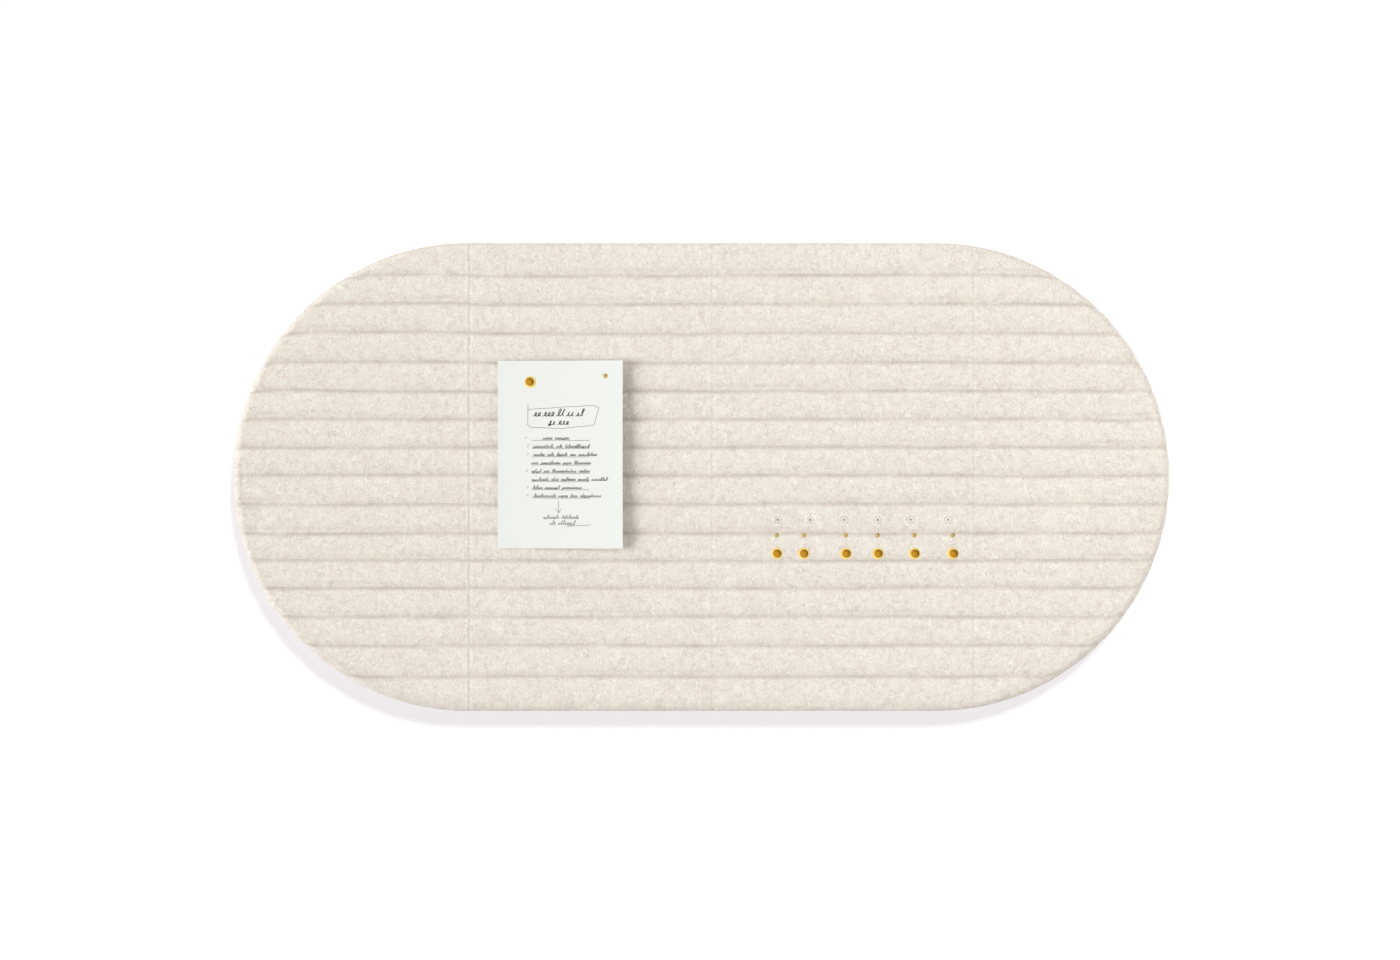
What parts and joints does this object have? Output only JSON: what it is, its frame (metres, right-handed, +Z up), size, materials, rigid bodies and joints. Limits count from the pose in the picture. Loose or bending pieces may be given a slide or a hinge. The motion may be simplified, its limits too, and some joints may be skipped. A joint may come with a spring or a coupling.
{
  "type": "felt bulletin board",
  "caption": "Wall-hung bulletin board with half-round ends, a felt face quilted in sewn channels, keyhole hangers behind, removable push pins and a pinned note card.",
  "frame": {"origin": "centre of the board's outline on the wall plane, which the four bumpers touch", "axes": "+X along the board's length to the right as seen from the room, +Y out of the back into the wall, +Z up, so the felt face looks along -Y"},
  "size_m": [0.762, 0.0401, 0.381],
  "materials": {
    "felt": "matte boiled wool felt, oatmeal",
    "foam": "matte open-cell foam",
    "fibreboard": "smooth raw fibreboard",
    "zinc_plate": "bright zinc",
    "screw_steel": "bright zinc",
    "bumper_rubber": "matte moulded rubber",
    "card": "matte card",
    "gold": "polished",
    "clear_plastic": "clear polished acrylic",
    "needle_steel": "polished steel"
  },
  "bodies": {
    "board": {"felt_left_end": "felt", "felt_centre_left": "felt", "felt_centre_right": "felt", "felt_right_end": "felt", "foam_pad": "foam", "backing_board": "fibreboard", "hanger_plate_left": "zinc_plate", "hanger_screw_left_top": "screw_steel", "hanger_screw_left_bottom": "screw_steel", "hanger_plate_right": "zinc_plate", "hanger_screw_right_top": "screw_steel", "hanger_screw_right_bottom": "screw_steel", "bumper_left_top": "bumper_rubber", "bumper_left_bottom": "bumper_rubber", "bumper_right_top": "bumper_rubber", "bumper_right_bottom": "bumper_rubber"},
    "gold_pin_1": {"gold_pin_1_head": "gold", "gold_pin_1_needle": "needle_steel"},
    "gold_pin_2": {"gold_pin_2_head": "gold", "gold_pin_2_needle": "needle_steel"},
    "gold_pin_3": {"gold_pin_3_head": "gold", "gold_pin_3_needle": "needle_steel"},
    "gold_pin_4": {"gold_pin_4_head": "gold", "gold_pin_4_needle": "needle_steel"},
    "gold_pin_5": {"gold_pin_5_head": "gold", "gold_pin_5_needle": "needle_steel"},
    "gold_pin_6": {"gold_pin_6_head": "gold", "gold_pin_6_needle": "needle_steel"},
    "ball_pin_1": {"ball_pin_1_head": "gold", "ball_pin_1_needle": "needle_steel"},
    "ball_pin_2": {"ball_pin_2_head": "gold", "ball_pin_2_needle": "needle_steel"},
    "ball_pin_3": {"ball_pin_3_head": "gold", "ball_pin_3_needle": "needle_steel"},
    "ball_pin_4": {"ball_pin_4_head": "gold", "ball_pin_4_needle": "needle_steel"},
    "ball_pin_5": {"ball_pin_5_head": "gold", "ball_pin_5_needle": "needle_steel"},
    "ball_pin_6": {"ball_pin_6_head": "gold", "ball_pin_6_needle": "needle_steel"},
    "clear_pin_1": {"clear_pin_1_head": "clear_plastic", "clear_pin_1_needle": "needle_steel"},
    "clear_pin_2": {"clear_pin_2_head": "clear_plastic", "clear_pin_2_needle": "needle_steel"},
    "clear_pin_3": {"clear_pin_3_head": "clear_plastic", "clear_pin_3_needle": "needle_steel"},
    "clear_pin_4": {"clear_pin_4_head": "clear_plastic", "clear_pin_4_needle": "needle_steel"},
    "clear_pin_5": {"clear_pin_5_head": "clear_plastic", "clear_pin_5_needle": "needle_steel"},
    "clear_pin_6": {"clear_pin_6_head": "clear_plastic", "clear_pin_6_needle": "needle_steel"},
    "note": {"note_card": "card"},
    "note_gold_pin": {"note_gold_pin_head": "gold", "note_gold_pin_needle": "needle_steel"},
    "note_ball_pin": {"note_ball_pin_head": "gold", "note_ball_pin_needle": "needle_steel"}
  },
  "joints": [
    {"name": "gold_pin_1_pull", "type": "slide", "parent": "board", "child": "gold_pin_1", "axis": [0, -1, 0], "range_m": [0, 0.016]},
    {"name": "gold_pin_2_pull", "type": "slide", "parent": "board", "child": "gold_pin_2", "axis": [0, -1, 0], "range_m": [0, 0.016]},
    {"name": "gold_pin_3_pull", "type": "slide", "parent": "board", "child": "gold_pin_3", "axis": [0, -1, 0], "range_m": [0, 0.016]},
    {"name": "gold_pin_4_pull", "type": "slide", "parent": "board", "child": "gold_pin_4", "axis": [0, -1, 0], "range_m": [0, 0.016]},
    {"name": "gold_pin_5_pull", "type": "slide", "parent": "board", "child": "gold_pin_5", "axis": [0, -1, 0], "range_m": [0, 0.016]},
    {"name": "gold_pin_6_pull", "type": "slide", "parent": "board", "child": "gold_pin_6", "axis": [0, -1, 0], "range_m": [0, 0.016]},
    {"name": "ball_pin_1_pull", "type": "slide", "parent": "board", "child": "ball_pin_1", "axis": [0, -1, 0], "range_m": [0, 0.017]},
    {"name": "ball_pin_2_pull", "type": "slide", "parent": "board", "child": "ball_pin_2", "axis": [0, -1, 0], "range_m": [0, 0.017]},
    {"name": "ball_pin_3_pull", "type": "slide", "parent": "board", "child": "ball_pin_3", "axis": [0, -1, 0], "range_m": [0, 0.017]},
    {"name": "ball_pin_4_pull", "type": "slide", "parent": "board", "child": "ball_pin_4", "axis": [0, -1, 0], "range_m": [0, 0.017]},
    {"name": "ball_pin_5_pull", "type": "slide", "parent": "board", "child": "ball_pin_5", "axis": [0, -1, 0], "range_m": [0, 0.017]},
    {"name": "ball_pin_6_pull", "type": "slide", "parent": "board", "child": "ball_pin_6", "axis": [0, -1, 0], "range_m": [0, 0.017]},
    {"name": "clear_pin_1_pull", "type": "slide", "parent": "board", "child": "clear_pin_1", "axis": [0, -1, 0], "range_m": [0, 0.016]},
    {"name": "clear_pin_2_pull", "type": "slide", "parent": "board", "child": "clear_pin_2", "axis": [0, -1, 0], "range_m": [0, 0.016]},
    {"name": "clear_pin_3_pull", "type": "slide", "parent": "board", "child": "clear_pin_3", "axis": [0, -1, 0], "range_m": [0, 0.016]},
    {"name": "clear_pin_4_pull", "type": "slide", "parent": "board", "child": "clear_pin_4", "axis": [0, -1, 0], "range_m": [0, 0.016]},
    {"name": "clear_pin_5_pull", "type": "slide", "parent": "board", "child": "clear_pin_5", "axis": [0, -1, 0], "range_m": [0, 0.016]},
    {"name": "clear_pin_6_pull", "type": "slide", "parent": "board", "child": "clear_pin_6", "axis": [0, -1, 0], "range_m": [0, 0.016]},
    {"name": "note_lift_off", "type": "slide", "parent": "board", "child": "note", "axis": [0, -1, 0], "range_m": [0, 0.03]},
    {"name": "note_gold_pin_pull", "type": "slide", "parent": "note", "child": "note_gold_pin", "axis": [0, -1, 0], "range_m": [0, 0.016]},
    {"name": "note_ball_pin_pull", "type": "slide", "parent": "note", "child": "note_ball_pin", "axis": [0, -1, 0], "range_m": [0, 0.017]}
  ]
}
